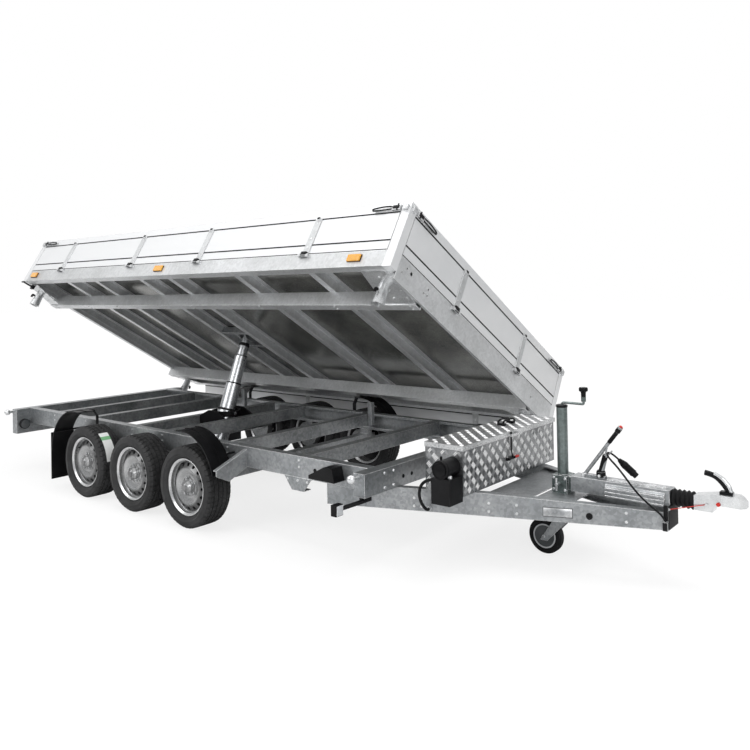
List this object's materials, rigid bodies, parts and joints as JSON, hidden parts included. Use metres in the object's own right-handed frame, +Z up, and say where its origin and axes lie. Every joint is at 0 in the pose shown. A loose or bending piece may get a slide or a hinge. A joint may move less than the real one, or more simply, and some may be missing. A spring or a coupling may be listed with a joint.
{
  "type": "tipper trailer",
  "caption": "Three-axle three-way tipping trailer with hinged drop sides, telescopic cylinder, V drawbar, toolbox, jockey wheel and overrun coupling.",
  "frame": {"origin": "centre of the coupling ball in the coupling head", "axes": "+X forward out of the coupling along the drawbar, +Y to the trailer's left, +Z up"},
  "size_m": [5.762, 2.3363, 2.0077],
  "materials": {
    "tyre_rubber": "matt",
    "rim_silver": "satin",
    "galvanised": "galvanised",
    "anodised": "satin anodised",
    "tread_plate": "chequered",
    "ground_steel": "ground",
    "zinc_silver": "zinc plated",
    "amber_lens": "gloss",
    "red_lens": "gloss",
    "black_rubber": "matt",
    "black_parts": "satin black"
  },
  "bodies": {
    "chassis": {"axle_beams": "galvanised", "ball_pins": "zinc_silver", "bellows": "black_rubber", "cable_plug": "black_parts", "coupling_head": "zinc_silver", "cross_members": "galvanised", "drawbar": "galvanised", "end_beams": "galvanised", "front_lamps": "black_parts", "gimbal_mount": "galvanised", "hand_pump": "black_parts", "handbrake": "black_parts", "jack_tube": "galvanised", "mudguards": "black_parts", "overrun_housing": "galvanised", "plug_cable": "black_parts", "pump_hose": "black_parts", "rail_brackets": "galvanised", "rear_lamps": "red_lens", "safety_cable": "galvanised", "side_rails": "galvanised", "toolbox": "tread_plate", "wheel_chocks": "black_parts"},
    "wheel_front_left": {"tyre_front_left": "tyre_rubber", "rim_front_left": "rim_silver"},
    "wheel_front_right": {"tyre_front_right": "tyre_rubber", "rim_front_right": "rim_silver"},
    "wheel_middle_left": {"tyre_middle_left": "tyre_rubber", "rim_middle_left": "rim_silver"},
    "wheel_middle_right": {"tyre_middle_right": "tyre_rubber", "rim_middle_right": "rim_silver"},
    "wheel_rear_left": {"tyre_rear_left": "tyre_rubber", "rim_rear_left": "rim_silver"},
    "wheel_rear_right": {"tyre_rear_right": "tyre_rubber", "rim_rear_right": "rim_silver"},
    "bed": {"bed_frame": "galvanised", "bed_floor": "galvanised", "bed_beams": "galvanised", "bed_members": "galvanised", "corner_sockets": "galvanised", "corner_posts": "anodised", "side_markers": "amber_lens", "cylinder_bracket": "galvanised", "latch_keepers": "galvanised"},
    "right_side": {"right_wall": "anodised", "right_wall_fittings": "galvanised"},
    "left_side": {"left_wall": "anodised", "left_wall_fittings": "galvanised"},
    "front_side": {"front_wall": "anodised", "front_wall_fittings": "galvanised"},
    "rear_side": {"rear_wall": "anodised", "rear_wall_fittings": "galvanised"},
    "barrel": {"cylinder_barrel": "black_parts"},
    "stage_one": {"cylinder_stage_one": "ground_steel"},
    "stage_two": {"cylinder_stage_two": "ground_steel"},
    "stage_three": {"cylinder_stage_three": "ground_steel"},
    "box_lid": {"toolbox_lid": "tread_plate"},
    "jockey_swivel": {"jockey_fork": "galvanised"},
    "jockey": {"jockey_wheel": "black_rubber"}
  },
  "joints": [
    {"name": "wheel_front_left_spin", "type": "hinge", "parent": "chassis", "child": "wheel_front_left", "pos_m": [-3.05, 0.8905, -0.182], "axis": [0, 1, 0], "continuous": true},
    {"name": "wheel_front_right_spin", "type": "hinge", "parent": "chassis", "child": "wheel_front_right", "pos_m": [-3.05, -0.8905, -0.182], "axis": [0, 1, 0], "continuous": true},
    {"name": "wheel_middle_left_spin", "type": "hinge", "parent": "chassis", "child": "wheel_middle_left", "pos_m": [-3.665, 0.8905, -0.182], "axis": [0, 1, 0], "continuous": true},
    {"name": "wheel_middle_right_spin", "type": "hinge", "parent": "chassis", "child": "wheel_middle_right", "pos_m": [-3.665, -0.8905, -0.182], "axis": [0, 1, 0], "continuous": true},
    {"name": "wheel_rear_left_spin", "type": "hinge", "parent": "chassis", "child": "wheel_rear_left", "pos_m": [-4.28, 0.8905, -0.182], "axis": [0, 1, 0], "continuous": true},
    {"name": "wheel_rear_right_spin", "type": "hinge", "parent": "chassis", "child": "wheel_rear_right", "pos_m": [-4.28, -0.8905, -0.182], "axis": [0, 1, 0], "continuous": true},
    {"name": "bed_tip", "type": "hinge", "parent": "chassis", "child": "bed", "pos_m": [-3.665, 0.924, 0.062], "axis": [-1, 0, 0], "range_deg": [-30.9, 10]},
    {"name": "right_side_drop", "type": "hinge", "parent": "bed", "child": "right_side", "pos_m": [-3.598, -0.71073, 1.27962], "axis": [1, 0, 0], "range_deg": [0, 175]},
    {"name": "left_side_drop", "type": "hinge", "parent": "bed", "child": "left_side", "pos_m": [-3.598, 1.18388, 0.14572], "axis": [-1, 0, 0], "range_deg": [-149.1, 5]},
    {"name": "rear_side_drop", "type": "hinge", "parent": "bed", "child": "rear_side", "pos_m": [-5.697, 0.23658, 0.71267], "axis": [0, -0.8581, 0.5135], "range_deg": [0, 175]},
    {"name": "front_side_drop", "type": "hinge", "parent": "bed", "child": "front_side", "pos_m": [-1.499, 0.23658, 0.71267], "axis": [0, 0.8581, -0.5135], "range_deg": [0, 90]},
    {"name": "barrel_swing", "type": "hinge", "parent": "chassis", "child": "barrel", "pos_m": [-3.81, 0, 0.101], "axis": [-1, 0, 0], "range_deg": [-17.5, 6.5]},
    {"name": "stage_one_slide", "type": "slide", "parent": "barrel", "child": "stage_one", "axis": [0, 0.3544, 0.9351], "range_m": [-0.2009, 0.0667]},
    {"name": "stage_two_slide", "type": "slide", "parent": "stage_one", "child": "stage_two", "axis": [0, 0.3544, 0.9351], "range_m": [-0.2205, 0.073]},
    {"name": "stage_three_slide", "type": "slide", "parent": "stage_two", "child": "stage_three", "axis": [0, 0.3544, 0.9351], "range_m": [-0.0686, 0.0241]},
    {"name": "box_lid_hinge", "type": "hinge", "parent": "chassis", "child": "box_lid", "pos_m": [-1.4693, 0, 0.197], "axis": [0, -1, 0], "range_deg": [0, 75]},
    {"name": "jockey_swivel_turn", "type": "hinge", "parent": "chassis", "child": "jockey_swivel", "pos_m": [-0.893, 0, -0.145], "axis": [0, 0, 1], "continuous": true},
    {"name": "jockey_spin", "type": "hinge", "parent": "jockey_swivel", "child": "jockey", "pos_m": [-1.003, 0, -0.345], "axis": [0, 1, 0], "continuous": true}
  ],
  "couplings": [
    {"joint": "barrel_swing", "follows": "bed_tip", "ratio": 0.56419},
    {"joint": "stage_one_slide", "follows": "bed_tip", "m_per_rad": 0.37081},
    {"joint": "stage_two_slide", "follows": "bed_tip", "m_per_rad": 0.40699},
    {"joint": "stage_three_slide", "follows": "bed_tip", "m_per_rad": 0.12662}
  ]
}
